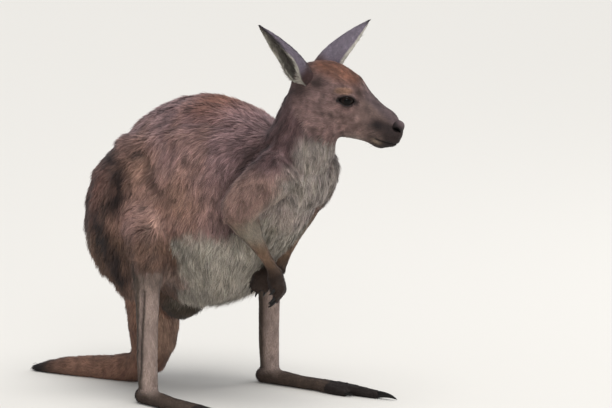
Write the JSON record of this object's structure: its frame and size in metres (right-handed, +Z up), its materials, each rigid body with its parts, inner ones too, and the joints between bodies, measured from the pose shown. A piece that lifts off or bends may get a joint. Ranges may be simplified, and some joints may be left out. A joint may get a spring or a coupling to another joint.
{
  "type": "kangaroo",
  "caption": "Life-size still model of a grey kangaroo standing alert on its hind feet and tail, head turned a little to its left and hands hanging crossed in front of its belly.",
  "frame": {"origin": "on the floor, under the middle of the model's bounding box", "axes": "+X the way the body faces, +Y the animal's left, +Z up"},
  "size_m": [0.7766, 0.387, 0.7117],
  "materials": {
    "coat": "matte fur, grey-brown",
    "pale_coat": "matte fur, pale grey",
    "dark_coat": "matte short fur, dark brown",
    "claw": "worn black horn",
    "eye": "wet and glossy",
    "nose": "moist, finely grained"
  },
  "bodies": {
    "root": {"hips": "coat", "chest": "coat", "neck": "coat", "head": "coat", "jaw": "coat", "ear_right": "coat", "ear_left": "coat", "thigh_right": "coat", "thigh_left": "coat", "upper_arm_right": "coat", "upper_arm_left": "coat", "forearm_right": "coat", "forearm_left": "coat", "tail_root": "coat", "tail_upper": "coat", "tail_bend": "coat", "tail_lower": "coat", "tail_tip": "coat", "belly": "pale_coat", "shank_right": "pale_coat", "shank_left": "pale_coat", "foot_right": "dark_coat", "foot_left": "dark_coat", "toes_right": "dark_coat", "toes_left": "dark_coat", "hand_right": "dark_coat", "hand_left": "dark_coat", "eye_right": "eye", "eye_left": "eye", "nose": "nose", "claw_long_right": "claw", "claw_outer_right": "claw", "claw_inner_1_right": "claw", "claw_inner_2_right": "claw", "claw_finger_1_right": "claw", "claw_finger_2_right": "claw", "claw_finger_3_right": "claw", "claw_finger_4_right": "claw", "claw_finger_5_right": "claw", "claw_long_left": "claw", "claw_outer_left": "claw", "claw_inner_1_left": "claw", "claw_inner_2_left": "claw", "claw_finger_1_left": "claw", "claw_finger_2_left": "claw", "claw_finger_3_left": "claw", "claw_finger_4_left": "claw", "claw_finger_5_left": "claw"}
  },
  "joints": []
}
